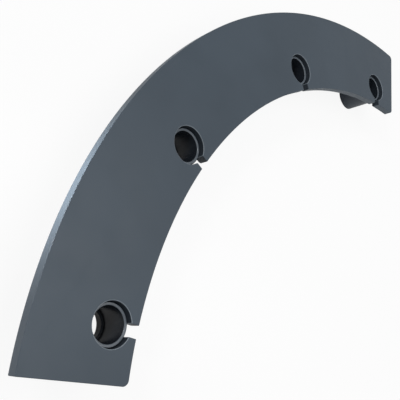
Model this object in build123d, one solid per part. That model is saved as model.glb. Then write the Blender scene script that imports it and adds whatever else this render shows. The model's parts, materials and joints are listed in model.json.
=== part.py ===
from build123d import *
import math
import os

# Milling drum wear plate: one quarter of a flat wear ring, bolted to the side of a
# road-milling drum. Four turned bolt cups stand behind it, each welded into a hole of
# the plate. The plate lies flat with its worn face up and stands on the cups' back ends.
# Lengths are in millimetres and angles in degrees. The ring's middle is the working
# centre, the quarter's middle line runs along +Y, and z = 0 is the worn face until the
# finished parts are moved so that they stand on z = 0.

# Plate
ring_outer_r = 480.0
plate_w = 90.0
plate_t = 10.0
plates_per_ring = 4
joint_gap = 2.0
corner_r = 5.0
left_tip_r = 0.8
inner_edge_break = 1.5

# Bolt cups, sized from the bolt outwards; the depths are measured down from the worn face
bolt_hole_d = 24.5
seat_w = 2.0
cup_wall = 3.05
cup_length = 41.0
rim_depth = 5.0
rim_chamfer = 0.9
pocket_lip = 0.5
seat_depth = 33.0
seat_t = 6.0
end_face_w = 1.0

# Holes in the plate, and the slot that runs from each one to the inner edge
holes_per_plate = 4
hole_inset = 24.0
cup_clearance = 0.2
end_hole_angle = 6.0
hole_step_angle = 24.0
slot_w = 10.0

# Weld beads behind the plate
weld_leg = 4.0
weld_stop = 2.5

ring_inner_r = ring_outer_r - plate_w
hole_circle_r = ring_inner_r + hole_inset
bolt_r = bolt_hole_d / 2
pocket_r = bolt_r + seat_w
cup_r = pocket_r + cup_wall
hole_r = cup_r + cup_clearance
half_angle = 180.0 / plates_per_ring
hole_angles = [half_angle - end_hole_angle - k * hole_step_angle for k in range(holes_per_plate // 2)]
hole_angles += [-a for a in reversed(hole_angles)]


def turned_left(angle):
    """Turn about the ring's centre, counted from the middle line towards the left end."""
    return Rot(0, 0, angle)


def hole_place(angle):
    """Frame at a hole's centre, in the worn face, with +Y pointing away from the ring's centre."""
    return turned_left(angle) * Pos(0, hole_circle_r, 0)


def ring_sector():
    """Outline of the quarter, with each end half a joint gap inside the true quarter."""
    reach = 2 * ring_outer_r
    inset = joint_gap / 2 / math.sin(math.radians(half_angle))
    ends = Polygon(
        (0, inset),
        (reach * math.sin(math.radians(half_angle)), inset + reach * math.cos(math.radians(half_angle))),
        (-reach * math.sin(math.radians(half_angle)), inset + reach * math.cos(math.radians(half_angle))),
        align=None,
    )
    ring = Circle(ring_outer_r) - Circle(ring_inner_r)
    return ring & ends


def plate_outline():
    """The quarter with its corners rounded: the left end's outer tip is left nearly sharp."""
    outline = ring_sector()
    corners = outline.vertices().sort_by(Axis.Y)
    inner_corners = corners[:2]
    left_tip, right_tip = corners[2:].sort_by(Axis.X)
    outline = fillet([*inner_corners, right_tip], corner_r)
    tips = outline.vertices().sort_by(lambda v: (v.center() - left_tip.center()).length)
    return fillet(tips[0], left_tip_r)


def slot_cut():
    """Parallel slot from a hole's centre to beyond the inner edge, along the hole's own radius."""
    reach = hole_inset + hole_r
    return Pos(0, -reach / 2) * Rectangle(slot_w, reach)


def inner_edge_cut():
    """Ring that breaks the back corner of the inner edge at 45 degrees."""
    b = inner_edge_break
    section = Polyline(
        (ring_inner_r - b, 2 * b - plate_t),
        (ring_inner_r + 2 * b, -b - plate_t),
        (ring_inner_r - b, -b - plate_t),
        close=True,
    )
    return revolve(Plane.XZ * make_face(section), Axis.Z)


def make_plate():
    outline = plate_outline()
    for angle in hole_angles:
        outline -= hole_place(angle) * (Circle(hole_r) + slot_cut())
    return extrude(outline, -plate_t) - inner_edge_cut()


def make_cup():
    """Turned cup about the hole's axis: pocket for the bolt head, seat, and centring cone behind."""
    top = -rim_depth
    bottom = top - cup_length
    seat = -seat_depth
    section = Polyline(
        (pocket_r + pocket_lip, top),
        (cup_r - rim_chamfer, top),
        (cup_r, top - rim_chamfer),
        (cup_r, bottom),
        (cup_r - end_face_w, bottom),
        (bolt_r, seat - seat_t),
        (bolt_r, seat),
        (pocket_r, seat),
        (pocket_r, top - pocket_lip),
        close=True,
    )
    return revolve(Plane.XZ * make_face(section), Axis.Z)


def make_weld():
    """Fillet weld in the corner between cup and plate back, stopped short of the slot."""
    back = -plate_t
    section = Polyline(
        (cup_r, back),
        (cup_r + weld_leg, back),
        (cup_r, back - weld_leg),
        close=True,
    )
    stop_angle = math.degrees(math.asin((slot_w / 2 + weld_stop) / cup_r))
    bead = revolve(Plane.XZ * make_face(section), Axis.Z, 360 - 2 * stop_angle)
    return Rot(0, 0, stop_angle - 90) * bead


def build():
    plate = make_plate()
    footprint = plate.bounding_box().center()
    stand = Pos(-footprint.X, -footprint.Y, rim_depth + cup_length)
    parts = {"wear_plate": stand * plate}
    for number, angle in enumerate(hole_angles, start=1):
        parts[f"bolt_cup_{number}"] = stand * hole_place(angle) * make_cup()
        parts[f"weld_bead_{number}"] = stand * hole_place(angle) * make_weld()
    return parts


os.makedirs("parts", exist_ok=True)
for name, part in build().items():
    export_step(part, f"parts/{name}.step")
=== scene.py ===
import json
import math

import bmesh
import bpy
from mathutils import Matrix, Vector, noise


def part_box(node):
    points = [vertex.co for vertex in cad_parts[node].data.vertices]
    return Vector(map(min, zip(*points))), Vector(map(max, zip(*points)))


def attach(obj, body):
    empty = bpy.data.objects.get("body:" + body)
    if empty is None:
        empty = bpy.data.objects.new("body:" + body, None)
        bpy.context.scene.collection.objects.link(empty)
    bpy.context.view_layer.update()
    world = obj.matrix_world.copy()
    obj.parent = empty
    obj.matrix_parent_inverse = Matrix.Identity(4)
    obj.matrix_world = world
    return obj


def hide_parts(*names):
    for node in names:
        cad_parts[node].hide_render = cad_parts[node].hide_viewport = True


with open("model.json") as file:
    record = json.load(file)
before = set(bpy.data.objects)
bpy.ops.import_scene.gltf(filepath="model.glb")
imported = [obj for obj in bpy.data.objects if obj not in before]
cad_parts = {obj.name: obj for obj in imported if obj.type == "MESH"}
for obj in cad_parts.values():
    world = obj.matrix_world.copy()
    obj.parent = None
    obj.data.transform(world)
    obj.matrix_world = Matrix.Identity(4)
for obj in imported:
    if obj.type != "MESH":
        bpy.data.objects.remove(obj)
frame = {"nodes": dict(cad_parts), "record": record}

bl_info = {
    "name": "Milling drum wear plate",
    "version": (1, 0, 0),
    "blender": (4, 5, 0),
    "location": "3D View > Sidebar > Wear plate",
    "description": "Dresses a slotted ring wear plate with its turned bolt cups and weld beads",
    "category": "Object",
}

CUPS = sorted(name for name in frame["nodes"] if name.startswith("bolt_cup_"))
BEADS = sorted(name for name in frame["nodes"] if name.startswith("weld_bead_"))
MOUNTS = {mount["name"]: mount for mount in frame["record"]["mounts"]}
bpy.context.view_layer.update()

# Widths in metres: the gap round a cup in its hole, the chamfer round its rim, its flat end
# face behind, and the 45 degree break on the back corner of the plate's inner edge
CUP_CLEARANCE = 0.0002
RIM_CHAMFER = 0.0009
END_FACE = 0.001
INNER_EDGE_BREAK = 0.0015

# Two lengths closer than this are the same
NEAR = 0.00001

# How far from its two ends a weld bead starts to taper, in metres
BEAD_END = 0.003

# Places of the coats of paint in the plate's and the cups' lists of materials; the hole and pocket coats
# are painted shade and the corner coat is a painted highlight
FACE, EDGE, HOLE_SHADE, CORNER_HIGHLIGHT = range(4)
OUTSIDE, POCKET_SHADE, RIM = range(3)

# Which point of a cup's section is the lower end of its bolt hole
HOLE_END = 5

# Camera of the reference picture, which is 400 pixels square
CAMERA_PLACE = (-0.45718, 0.08942, 0.39636)
CAMERA_TURN_DEG = (12.62096, -43.66943, -36.98333)
SENSOR_MM = 36.0
LENS_MM = 50.907


class PlateLook(bpy.types.PropertyGroup):
    """What a user would change on the plate."""

    edge_round: bpy.props.FloatProperty(
        name="Edge rounding", description="Radius worn and painted onto the plate's sharp edges",
        default=0.0005, min=0.0, unit="LENGTH", precision=5)
    arc_cuts: bpy.props.IntProperty(
        name="Arc cuts", description="New points on each facet of the plate's arcs", default=2, min=0)
    face_colour: bpy.props.FloatVectorProperty(
        name="Face paint", description="Slate-grey paint on the plate's two faces",
        default=(0.060, 0.081, 0.104), size=3, min=0.0, max=1.0, subtype="COLOR")
    edge_colour: bpy.props.FloatVectorProperty(
        name="Edge paint", description="The same paint on the flame-cut edges",
        default=(0.068, 0.089, 0.112), size=3, min=0.0, max=1.0, subtype="COLOR")
    # Painted shade: the walls of the holes and slots are coloured dark in place of the shade that falls in
    # them
    hole_shade_colour: bpy.props.FloatVectorProperty(
        name="Hole paint", description="Paint gone dark on the walls of the holes and slots",
        default=(0.026, 0.034, 0.045), size=3, min=0.0, max=1.0, subtype="COLOR")
    # Painted highlight: a pale coat along the holes' rounded corners in place of the light they catch
    corner_highlight_colour: bpy.props.FloatVectorProperty(
        name="Corner paint", description="Paint rubbed thin and pale along the holes' corners",
        default=(0.190, 0.225, 0.260), size=3, min=0.0, max=1.0, subtype="COLOR")


class CupLook(bpy.types.PropertyGroup):
    """What a user would change on the bolt cups."""

    edge_round: bpy.props.FloatProperty(
        name="Edge rounding", description="Radius of the turned cups' small edges",
        default=0.0002, min=0.0, unit="LENGTH", precision=5)
    steps: bpy.props.IntProperty(
        name="Steps round", description="Number of facets round each cup", default=96, min=24)
    colour: bpy.props.FloatVectorProperty(
        name="Cup paint", description="Slate-grey paint on the turned cups",
        default=(0.042, 0.054, 0.070), size=3, min=0.0, max=1.0, subtype="COLOR")
    # Painted shade: the pocket and the rim's outer chamfer are coloured dark in place of the shade inside
    # the cup and in the gap round it
    pocket_shade_colour: bpy.props.FloatVectorProperty(
        name="Pocket", description="Blued steel inside each cup, down to the bolt hole",
        default=(0.018, 0.023, 0.031), size=3, min=0.0, max=1.0, subtype="COLOR")
    rim_colour: bpy.props.FloatVectorProperty(
        name="Cup rim paint", description="Thin bright paint on each cup's faced rim",
        default=(0.115, 0.135, 0.158), size=3, min=0.0, max=1.0, subtype="COLOR")


class BeadLook(bpy.types.PropertyGroup):
    """What a user would change on the weld beads."""

    ripple_pitch: bpy.props.FloatProperty(
        name="Ripple pitch", description="Distance from one weld ripple to the next",
        default=0.0026, min=0.0005, unit="LENGTH", precision=5)
    ripple_depth: bpy.props.FloatProperty(
        name="Ripple depth", description="How far the bead sinks between two ripples",
        default=0.0004, min=0.0, unit="LENGTH", precision=5)
    crown: bpy.props.FloatProperty(
        name="Crown", description="How far the bead's face stands proud of flat",
        default=0.0005, min=0.0, unit="LENGTH", precision=5)
    colour: bpy.props.FloatVectorProperty(
        name="Bead paint", description="Slate-grey paint over the welds",
        default=(0.052, 0.066, 0.084), size=3, min=0.0, max=1.0, subtype="COLOR")


class StudioLook(bpy.types.PropertyGroup):
    """What a user would change on the floor and the lamps."""

    floor_colour: bpy.props.FloatVectorProperty(
        name="Floor", description="Pale studio floor", default=(0.93, 0.93, 0.93),
        size=3, min=0.0, max=1.0, subtype="COLOR")
    floor_white: bpy.props.FloatProperty(
        name="Floor white", description="Share of clean white that the eye sees in the floor",
        default=0.90, min=0.0, max=1.0, subtype="FACTOR")
    floor_gloss: bpy.props.FloatProperty(
        name="Floor in gloss", description="Share of clean white that glossy paint mirrors in the floor",
        default=0.15, min=0.0, max=1.0, subtype="FACTOR")
    sky_level: bpy.props.FloatProperty(
        name="Sky level", description="Strength of the even light from all round", default=0.35, min=0.0)
    overhead_power: bpy.props.FloatProperty(
        name="Overhead lamp", description="Power of the soft lamp above the plate, in watts",
        default=4.6, min=0.0)
    side_power: bpy.props.FloatProperty(
        name="Side lamp", description="Power of the lamp that draws light lips on the corners, in watts",
        default=14.0, min=0.0)
    rim_power: bpy.props.FloatProperty(
        name="Rim lamp", description="Power of the low lamp beyond the outer edge, in watts",
        default=0.085, min=0.0)


def add_link(tree, out, to):
    tree.links.new(out, to)


def node(tree, kind, **values):
    """A shader node with its plain settings and the defaults of its named inputs."""
    made = tree.nodes.new(kind)
    for key, value in values.items():
        if hasattr(made, key):
            setattr(made, key, value)
        else:
            made.inputs[key.replace("_", " ")].default_value = value
    return made


def new_material(name, colour, metallic, roughness):
    """An empty painted surface: its material, its tree and its shader."""
    material = bpy.data.materials.new(name)
    material.use_nodes = True
    material.diffuse_color = (*colour, 1.0)
    tree = material.node_tree
    shader = tree.nodes["Principled BSDF"]
    shader.inputs["Metallic"].default_value = metallic
    shader.inputs["Roughness"].default_value = roughness
    return material, tree, shader


def object_coordinates(tree, scale=(1.0, 1.0, 1.0), centre=(0.0, 0.0, 0.0)):
    """The piece's own coordinates in metres, moved to a centre and then stretched."""
    place = node(tree, "ShaderNodeMapping", vector_type="POINT")
    place.inputs["Scale"].default_value = scale
    place.inputs["Location"].default_value = [-c * s for c, s in zip(centre, scale)]
    source = node(tree, "ShaderNodeTexCoord")
    add_link(tree, source.outputs["Object"], place.inputs["Vector"])
    return place.outputs["Vector"]


def cloud(tree, vector, scale, detail=2.0, rough=0.5):
    made = node(tree, "ShaderNodeTexNoise", Scale=scale, Detail=detail, Roughness=rough)
    add_link(tree, vector, made.inputs["Vector"])
    return made.outputs["Fac"]


def spread(tree, value, low, high, to_low, to_high):
    """A value moved from one range to another, held inside it."""
    made = node(tree, "ShaderNodeMapRange", clamp=True)
    for key, number in (("From Min", low), ("From Max", high), ("To Min", to_low), ("To Max", to_high)):
        made.inputs[key].default_value = number
    add_link(tree, value, made.inputs["Value"])
    return made.outputs["Result"]


def shade(tree, value, dark, light):
    """A colour that runs from dark to light with a value from 0 to 1."""
    made = node(tree, "ShaderNodeMix", data_type="RGBA")
    inputs = {socket.identifier: socket for socket in made.inputs}
    inputs["A_Color"].default_value = (*dark, 1.0)
    inputs["B_Color"].default_value = (*light, 1.0)
    add_link(tree, value, inputs["Factor_Float"])
    return {socket.identifier: socket for socket in made.outputs}["Result_Color"]


def bump(tree, height, strength, distance, before=None):
    made = node(tree, "ShaderNodeBump", Strength=strength, Distance=distance)
    add_link(tree, height, made.inputs["Height"])
    if before:
        add_link(tree, before, made.inputs["Normal"])
    return made.outputs["Normal"]


def tinted(colour, factor):
    return tuple(channel * factor for channel in colour)


def paint(name, colour, mottle=0.06, roughness=(0.36, 0.46), specular=0.35):
    """Satin paint: faint cloudy tone, uneven gloss and a fine orange-peel surface."""
    material, tree, shader = new_material(name, colour, 0.0, roughness[0])
    shader.inputs["Specular IOR Level"].default_value = specular
    vector = object_coordinates(tree)
    tone = spread(tree, cloud(tree, vector, 9.0, 3.0, 0.55), 0.35, 0.65, 0.0, 1.0)
    add_link(tree, shade(tree, tone, tinted(colour, 1 - mottle), tinted(colour, 1 + mottle)),
             shader.inputs["Base Color"])
    patches = cloud(tree, vector, 38.0, 4.0, 0.6)
    add_link(tree, spread(tree, patches, 0.3, 0.7, *roughness), shader.inputs["Roughness"])
    peel = cloud(tree, vector, 900.0, 2.0, 0.5)
    normal = bump(tree, peel, 0.10, 0.00008)
    add_link(tree, normal, shader.inputs["Normal"])
    return material, tree, shader, normal


def face_paint(colour):
    return paint("slate_paint_on_rolled_plate", colour)[0]


def edge_paint(name, colour):
    """Paint over the fine upright drag lines that flame cutting leaves."""
    material, tree, shader, normal = paint(name, colour, 0.05, (0.40, 0.52))
    lines = cloud(tree, object_coordinates(tree, (1.0, 1.0, 0.05)), 620.0, 2.0, 0.6)
    add_link(tree, bump(tree, lines, 0.35, 0.00025, normal), shader.inputs["Normal"])
    return material


# A pale coat that paints a highlight along the holes' corners
def corner_highlight_paint(colour):
    return paint("painted_highlight_on_corner", colour, 0.15, (0.30, 0.42), 0.5)[0]


def turned_paint(name, colour, centre, roughness=(0.30, 0.40)):
    """Paint thin enough to show the lathe's rings on the cup round this centre."""
    material, tree, shader, normal = paint(name, colour, 0.05, roughness, 0.5)
    vector = object_coordinates(tree, centre=centre)
    split = node(tree, "ShaderNodeSeparateXYZ")
    add_link(tree, vector, split.inputs["Vector"])
    flat = node(tree, "ShaderNodeCombineXYZ")
    add_link(tree, split.outputs["X"], flat.inputs["X"])
    add_link(tree, split.outputs["Y"], flat.inputs["Y"])
    radius = node(tree, "ShaderNodeVectorMath", operation="LENGTH")
    add_link(tree, flat.outputs["Vector"], radius.inputs[0])
    rings = node(tree, "ShaderNodeCombineXYZ")
    add_link(tree, radius.outputs["Value"], rings.inputs["X"])
    add_link(tree, split.outputs["Z"], rings.inputs["Z"])
    feed = cloud(tree, rings.outputs["Vector"], 1900.0, 1.0, 0.5)
    add_link(tree, bump(tree, feed, 0.22, 0.0001, normal), shader.inputs["Normal"])
    return material


def bead_paint(colour):
    material, tree, shader, normal = paint("slate_paint_on_weld", colour, 0.12, (0.34, 0.50))
    grains = cloud(tree, object_coordinates(tree), 420.0, 3.0, 0.6)
    add_link(tree, bump(tree, grains, 0.4, 0.0002, normal), shader.inputs["Normal"])
    return material


def corner_edges(bm, angle_deg):
    """Edges whose two faces meet at more than this angle."""
    limit = math.radians(angle_deg)
    return [edge for edge in bm.edges if edge.is_manifold and edge.calc_face_angle() > limit]


def round_corners(bm, radius, angle_deg=25.0, segments=2):
    """Round every corner sharper than this angle, and give the new faces along them."""
    made = bmesh.ops.bevel(
        bm, geom=corner_edges(bm, angle_deg), offset=radius, offset_type="OFFSET", segments=segments,
        profile=0.5, affect="EDGES", material=-1, clamp_overlap=False)
    return set(made["faces"])


def finished(name, bm, materials, node_name):
    """The piece made of this mesh: smooth, on the root body, and shown in place of its solid."""
    mesh = bpy.data.meshes.new(name)
    bm.to_mesh(mesh)
    bm.free()
    mesh.polygons.foreach_set("use_smooth", [True] * len(mesh.polygons))
    for material in materials:
        mesh.materials.append(material)
    piece = bpy.data.objects.new(name, mesh)
    bpy.context.scene.collection.objects.link(piece)
    weigh = piece.modifiers.new("flat faces stay flat", "WEIGHTED_NORMAL")
    weigh.keep_sharp = True
    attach(piece, "root")
    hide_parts(node_name)
    return piece


def hole_centre(name):
    """Where a cup's axis stands on the floor."""
    low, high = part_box(name)
    return ((low + high) / 2).xy


def ring_centre():
    """The middle of the ring: on the plate's middle line, and as far from hole 1 as from hole 2."""
    first, second, last = (hole_centre(name) for name in (CUPS[0], CUPS[1], CUPS[-1]))
    middle_x = (first.x + last.x) / 2
    across = (second.x - middle_x) ** 2 - (first.x - middle_x) ** 2
    return Vector((middle_x, (across + second.y ** 2 - first.y ** 2) / (2 * (second.y - first.y))))


def true_arc(bm, centre, radius, cuts):
    """Divide the facets of an arc and push the new points out onto the true circle."""
    def on_arc(vert):
        return abs((vert.co.xy - centre).length - radius) < NEAR

    facets = [
        edge for edge in bm.edges
        if all(map(on_arc, edge.verts)) and abs(edge.verts[0].co.z - edge.verts[1].co.z) < NEAR
    ]
    made = bmesh.ops.subdivide_edges(bm, edges=facets, cuts=cuts, use_grid_fill=True)
    for vert in (item for item in made["geom_inner"] if isinstance(item, bmesh.types.BMVert)):
        vert.co.xy = centre + (vert.co.xy - centre).normalized() * radius


class WEARPLATE_OT_plate(bpy.types.Operator):
    """Dress the slotted ring plate, with rounded edges and paint over its flame-cut sides"""

    bl_idname = "wearplate.plate"
    bl_label = "Wear plate"

    def execute(self, context):
        look = context.scene.wearplate_plate
        bm = bmesh.new()
        bm.from_mesh(frame["nodes"]["wear_plate"].data)
        bmesh.ops.remove_doubles(bm, verts=bm.verts, dist=1e-6)
        bmesh.ops.dissolve_limit(bm, angle_limit=math.radians(0.5), verts=bm.verts, edges=bm.edges)
        centre = ring_centre()
        reach = [(vert.co.xy - centre).length for vert in bm.verts]
        inner_r, break_r, outer_r = min(reach), min(reach) + INNER_EDGE_BREAK, max(reach)
        for radius in (inner_r, break_r, outer_r):
            true_arc(bm, centre, radius, look.arc_cuts)
        low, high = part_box(CUPS[0])
        hole_r = (high.x - low.x) / 2 + CUP_CLEARANCE
        holes = [hole_centre(name) for name in CUPS]
        for hole in holes:
            true_arc(bm, hole, hole_r, look.arc_cuts)
        slot_reach = (holes[0] - centre).length - inner_r
        corners = round_corners(bm, look.edge_round)
        for face in bm.faces:
            middle = face.calc_center_median().xy
            from_hole = min((middle - hole).length for hole in holes)
            in_slot = from_hole < slot_reach and (middle - centre).length > break_r + NEAR
            # Painted highlight on the rounded corners round the holes
            if face in corners and from_hole < hole_r + look.edge_round:
                face.material_index = CORNER_HIGHLIGHT
            elif abs(face.normal.z) > 0.9:
                face.material_index = FACE
            else:
                # Hole and slot walls take the dark coat that paints in their shade
                face.material_index = HOLE_SHADE if in_slot else EDGE
        # The hole coat is darkened to paint in the holes' shade, and the corner coat is pale to paint in a
        # highlight
        coats = [
            face_paint(look.face_colour), edge_paint("slate_paint_on_cut_edge", look.edge_colour),
            edge_paint("painted_shade_in_hole", look.hole_shade_colour), corner_highlight_paint(look.corner_highlight_colour),
        ]
        finished("ring_plate", bm, coats, "wear_plate")
        return {"FINISHED"}


def cup_section(name):
    """Half section of a cup as (radius, height), from the pocket's mouth round the outside."""
    low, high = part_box(name)
    number = name.rsplit("_", 1)[1]
    pocket, hole = MOUNTS[f"head_pocket_{number}"], MOUNTS[f"bolt_hole_{number}"]
    pocket_r, hole_r = pocket["dims"]["r_mm"] / 1000, hole["dims"]["r_mm"] / 1000
    pocket_half, hole_half = pocket["dims"]["length_mm"] / 2000, hole["dims"]["length_mm"] / 2000
    lip = high.z - pocket["pos_m"][2] - pocket_half
    seat = pocket["pos_m"][2] - pocket_half
    outer_r = (high.x - low.x) / 2
    return [
        (pocket_r + lip, high.z), (outer_r - RIM_CHAMFER, high.z), (outer_r, high.z - RIM_CHAMFER),
        (outer_r, low.z), (outer_r - END_FACE, low.z), (hole_r, hole["pos_m"][2] - hole_half),
        (hole_r, seat), (pocket_r, seat), (pocket_r, high.z - lip),
    ]


def lathe(section, centre, steps, angle=2 * math.pi, start=0.0):
    """A mesh turned from a closed half section round the upright axis through a centre."""
    bm = bmesh.new()
    axis = Vector((centre[0], centre[1], 0.0))
    turn = Matrix.Rotation(start, 3, "Z")
    ring = [bm.verts.new(axis + turn @ Vector((radius, 0.0, height))) for radius, height in section]
    edges = [bm.edges.new((a, b)) for a, b in zip(ring, ring[1:] + ring[:1])]
    full = angle == 2 * math.pi
    bmesh.ops.spin(bm, geom=ring + edges, cent=axis, axis=(0, 0, 1), angle=angle, steps=steps,
                   use_merge=full)
    if not full:
        bmesh.ops.holes_fill(bm, edges=[edge for edge in bm.edges if edge.is_boundary], sides=0)
    bmesh.ops.remove_doubles(bm, verts=bm.verts, dist=1e-7)
    bmesh.ops.recalc_face_normals(bm, faces=bm.faces)
    return bm


class WEARPLATE_OT_cups(bpy.types.Operator):
    """Turn the bolt cups that stand in the plate's holes"""

    bl_idname = "wearplate.cups"
    bl_label = "Bolt cups"

    def execute(self, context):
        look = context.scene.wearplate_cup
        for name in CUPS:
            centre = hole_centre(name)
            section = cup_section(name)
            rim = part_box(name)[1].z - RIM_CHAMFER
            pocket_r, lip_z = section[-1]
            flat_r, hole_end = section[1][0], section[HOLE_END][1]
            bm = lathe(section, centre, look.steps)
            round_corners(bm, look.edge_round)
            for face in bm.faces:
                middle = face.calc_center_median()
                from_axis = (middle.xy - centre).length
                on_chamfer = middle.z > rim and from_axis > flat_r + NEAR
                # Painted shade: the outer chamfer and the pocket wall take the dark coat, for the shade in
                # the gap round the rim and inside the pocket
                if on_chamfer or from_axis < pocket_r + NEAR and hole_end < middle.z < lip_z:
                    face.material_index = POCKET_SHADE
                else:
                    face.material_index = RIM if middle.z > rim else OUTSIDE
            number = name.rsplit("_", 1)[1]
            axis = (*centre, 0.0)
            coats = [
                turned_paint(f"slate_paint_on_turned_cup_{number}", look.colour, axis),
                turned_paint(f"painted_shade_in_pocket_{number}", look.pocket_shade_colour, axis, (0.20, 0.28)),
                turned_paint(f"bright_paint_on_cup_rim_{number}", look.rim_colour, axis, (0.20, 0.28)),
            ]
            finished(f"turned_cup_{number}", bm, coats, name)
        return {"FINISHED"}


def bead_section(name, cup_r, crown, points=6):
    """Half section of a weld bead: its root in the corner, then its face from the plate to the cup."""
    low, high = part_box(name)
    leg = high.z - low.z
    section = [(cup_r, high.z)]
    for k in range(points + 1):
        share = k / points
        proud = crown * math.sin(math.pi * share) / math.sqrt(2)
        section.append((cup_r + leg * (1 - share) + proud, high.z - leg * share - proud))
    return section


def ripple(bm, centre, slot_way, gap, look):
    """Sink the bead's face between its crescent ripples, and taper its two ends."""
    corner = min(bm.verts, key=lambda v: (v.co.xy - centre).length - v.co.z)
    cup_r, back = (corner.co.xy - centre).length, corner.co.z
    leg = back - min(vert.co.z for vert in bm.verts)
    length = (2 * math.pi - 2 * gap) * (cup_r + leg / 2)
    for vert in bm.verts:
        out = vert.co.xy - centre
        root = Vector((*(centre + out.normalized() * cup_r), back))
        turned = slot_way.angle_signed(out) % (2 * math.pi) - gap
        along = turned * (cup_r + leg / 2)
        drop = (back - vert.co.z) / leg
        crescent = 0.8 * 4 * drop * (1 - drop)
        wobble = 0.35 * noise.noise(Vector((along * 300.0, drop, centre.x * 40.0)))
        wave = 0.5 - 0.5 * math.cos(2 * math.pi * (along / look.ripple_pitch + crescent + wobble))
        face = vert.co - root
        if face.length > NEAR:
            vert.co -= face.normalized() * look.ripple_depth * wave * 4 * drop * (1 - drop)
            ending = min(along, length - along) / BEAD_END
            if ending < 1:
                vert.co = root + (vert.co - root) * (0.35 + 0.65 * math.sqrt(1 - (1 - max(ending, 0)) ** 2))


class WEARPLATE_OT_beads(bpy.types.Operator):
    """Lay the rippled weld beads between the cups and the plate's back"""

    bl_idname = "wearplate.beads"
    bl_label = "Weld beads"

    def execute(self, context):
        look = context.scene.wearplate_bead
        coat = bead_paint(look.colour)
        middle = ring_centre()
        for name in BEADS:
            number = name.rsplit("_", 1)[1]
            cup = f"bolt_cup_{number}"
            centre = hole_centre(cup)
            low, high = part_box(cup)
            cup_r = (high.x - low.x) / 2
            slot_way = (middle - centre).normalized()
            corners = [vert.co.xy - centre for vert in frame["nodes"][name].data.vertices]
            gap = min(slot_way.angle(corner) for corner in corners)
            start = math.atan2(slot_way.y, slot_way.x) + gap
            bm = lathe(bead_section(name, cup_r, look.crown), centre, 320, 2 * (math.pi - gap), start)
            ripple(bm, centre, slot_way, gap, look)
            finished(f"rippled_weld_{number}", bm, [coat], name)
        return {"FINISHED"}


def area_lamp(name, place, target, size, power, spread_deg=180.0):
    data = bpy.data.lights.new(name, "AREA")
    data.shape = "RECTANGLE"
    data.size, data.size_y = size
    data.energy = power
    data.spread = math.radians(spread_deg)
    lamp = bpy.data.objects.new(name, data)
    lamp.location = place
    lamp.rotation_euler = (Vector(target) - Vector(place)).to_track_quat("-Z", "Y").to_euler()
    bpy.context.scene.collection.objects.link(lamp)


def combined(tree, operation, one, other):
    made = node(tree, "ShaderNodeMath", operation=operation)
    add_link(tree, one, made.inputs[0])
    add_link(tree, other, made.inputs[1])
    return made.outputs["Value"]


def product(tree, one, other):
    return combined(tree, "MULTIPLY", one, other)


def larger(tree, one, other):
    return combined(tree, "MAXIMUM", one, other)


def seen(tree, *kinds):
    """1 for rays of these kinds and 0 for the rest."""
    rays = node(tree, "ShaderNodeLightPath")
    value = rays.outputs[kinds[0]]
    for kind in kinds[1:]:
        value = larger(tree, value, rays.outputs[kind])
    return value


def make_world(level):
    """Even light from all round, behind a backdrop that is clean white to the eye and in gloss."""
    world = bpy.data.worlds.new("studio")
    world.use_nodes = True
    tree = world.node_tree
    plain = tree.nodes["Background"]
    plain.inputs["Color"].default_value = (1.0, 1.0, 1.0, 1.0)
    plain.inputs["Strength"].default_value = level
    white = node(tree, "ShaderNodeBackground")
    white.inputs["Color"].default_value = (1.0, 1.0, 1.0, 1.0)
    way = node(tree, "ShaderNodeTexCoord")
    split = node(tree, "ShaderNodeSeparateXYZ")
    add_link(tree, way.outputs["Generated"], split.inputs["Vector"])
    low_down = spread(tree, split.outputs["Z"], 0.10, 0.35, 1.0, 0.0)
    in_gloss = product(tree, seen(tree, "Is Glossy Ray"), low_down)
    share = larger(tree, seen(tree, "Is Camera Ray", "Is Transmission Ray"), in_gloss)
    mix = node(tree, "ShaderNodeMixShader")
    add_link(tree, share, mix.inputs["Fac"])
    add_link(tree, plain.outputs["Background"], mix.inputs[1])
    add_link(tree, white.outputs["Background"], mix.inputs[2])
    add_link(tree, mix.outputs["Shader"], tree.nodes["World Output"].inputs["Surface"])
    bpy.context.scene.world = world


def make_floor(colour, to_eye, in_gloss):
    """Pale paper that takes shadows, with a share of clean white in it for the eye and for gloss."""
    bm = bmesh.new()
    bmesh.ops.create_grid(bm, x_segments=1, y_segments=1, size=6.0)
    mesh = bpy.data.meshes.new("floor")
    bm.to_mesh(mesh)
    bm.free()
    material, tree, shader = new_material("floor_paper", colour, 0.0, 0.9)
    shader.inputs["Base Color"].default_value = (*colour, 1.0)
    white = node(tree, "ShaderNodeEmission", Strength=1.0)
    share = larger(
        tree,
        spread(tree, seen(tree, "Is Camera Ray", "Is Transmission Ray"), 0.0, 1.0, 0.0, to_eye),
        spread(tree, seen(tree, "Is Glossy Ray"), 0.0, 1.0, 0.0, in_gloss))
    mix = node(tree, "ShaderNodeMixShader")
    add_link(tree, share, mix.inputs["Fac"])
    add_link(tree, shader.outputs["BSDF"], mix.inputs[1])
    add_link(tree, white.outputs["Emission"], mix.inputs[2])
    add_link(tree, mix.outputs["Shader"], tree.nodes["Material Output"].inputs["Surface"])
    mesh.materials.append(material)
    floor = bpy.data.objects.new("floor", mesh)
    bpy.context.scene.collection.objects.link(floor)


def make_camera():
    data = bpy.data.cameras.new("camera")
    data.sensor_width = SENSOR_MM
    data.lens = LENS_MM
    camera = bpy.data.objects.new("camera", data)
    camera.location = CAMERA_PLACE
    camera.rotation_euler = [math.radians(turn) for turn in CAMERA_TURN_DEG]
    bpy.context.scene.collection.objects.link(camera)
    bpy.context.scene.camera = camera


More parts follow.
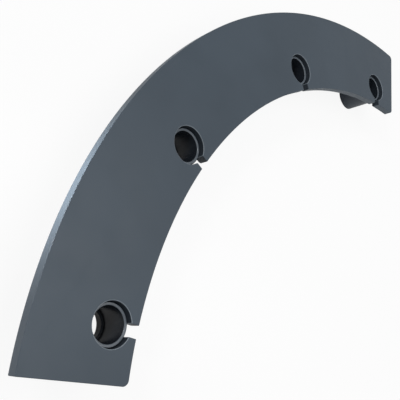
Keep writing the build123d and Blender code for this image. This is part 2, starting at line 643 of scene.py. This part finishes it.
class WEARPLATE_OT_stage(bpy.types.Operator):
    """Set up the pale floor, the soft lamps and the camera"""

    bl_idname = "wearplate.stage"
    bl_label = "Studio"

    def execute(self, context):
        look = context.scene.wearplate_studio
        context.scene.view_settings.view_transform = "Standard"
        make_world(look.sky_level)
        make_floor(look.floor_colour, look.floor_white, look.floor_gloss)
        area_lamp("overhead_lamp", (0.1, -0.1, 1.05), (0.05, -0.03, 0.04), (0.9, 0.9), look.overhead_power)
        area_lamp("side_lamp", (-0.90, 1.55, 1.25), (-0.1, 0.0, 0.04), (0.45, 0.45), look.side_power)
        area_lamp("rim_lamp", (-0.459, 0.486, 0.025), (-0.2245, 0.0446, 0.041), (0.06, 0.03),
                  look.rim_power, 18.0)
        make_camera()
        return {"FINISHED"}


class WEARPLATE_PT_panel(bpy.types.Panel):
    """Lists the pieces and what can be changed on them"""

    bl_idname = "WEARPLATE_PT_panel"
    bl_label = "Milling drum wear plate"
    bl_space_type = "VIEW_3D"
    bl_region_type = "UI"
    bl_category = "Wear plate"

    def draw(self, context):
        for look, operator in (
            ("wearplate_plate", WEARPLATE_OT_plate), ("wearplate_cup", WEARPLATE_OT_cups),
            ("wearplate_bead", WEARPLATE_OT_beads), ("wearplate_studio", WEARPLATE_OT_stage),
        ):
            box = self.layout.box()
            settings = getattr(context.scene, look)
            for key in settings.__annotations__:
                box.prop(settings, key)
            box.operator(operator.bl_idname)


LOOKS = {
    "wearplate_plate": PlateLook, "wearplate_cup": CupLook,
    "wearplate_bead": BeadLook, "wearplate_studio": StudioLook,
}
CLASSES = (
    *LOOKS.values(), WEARPLATE_OT_plate, WEARPLATE_OT_cups, WEARPLATE_OT_beads,
    WEARPLATE_OT_stage, WEARPLATE_PT_panel,
)


def register():
    for cls in CLASSES:
        bpy.utils.register_class(cls)
    for name, look in LOOKS.items():
        setattr(bpy.types.Scene, name, bpy.props.PointerProperty(type=look))


def unregister():
    for name in LOOKS:
        delattr(bpy.types.Scene, name)
    for cls in reversed(CLASSES):
        bpy.utils.unregister_class(cls)


def main():
    register()
    bpy.ops.wearplate.stage()
    bpy.ops.wearplate.plate()
    bpy.ops.wearplate.cups()
    bpy.ops.wearplate.beads()


if __name__ == "__main__":
    main()
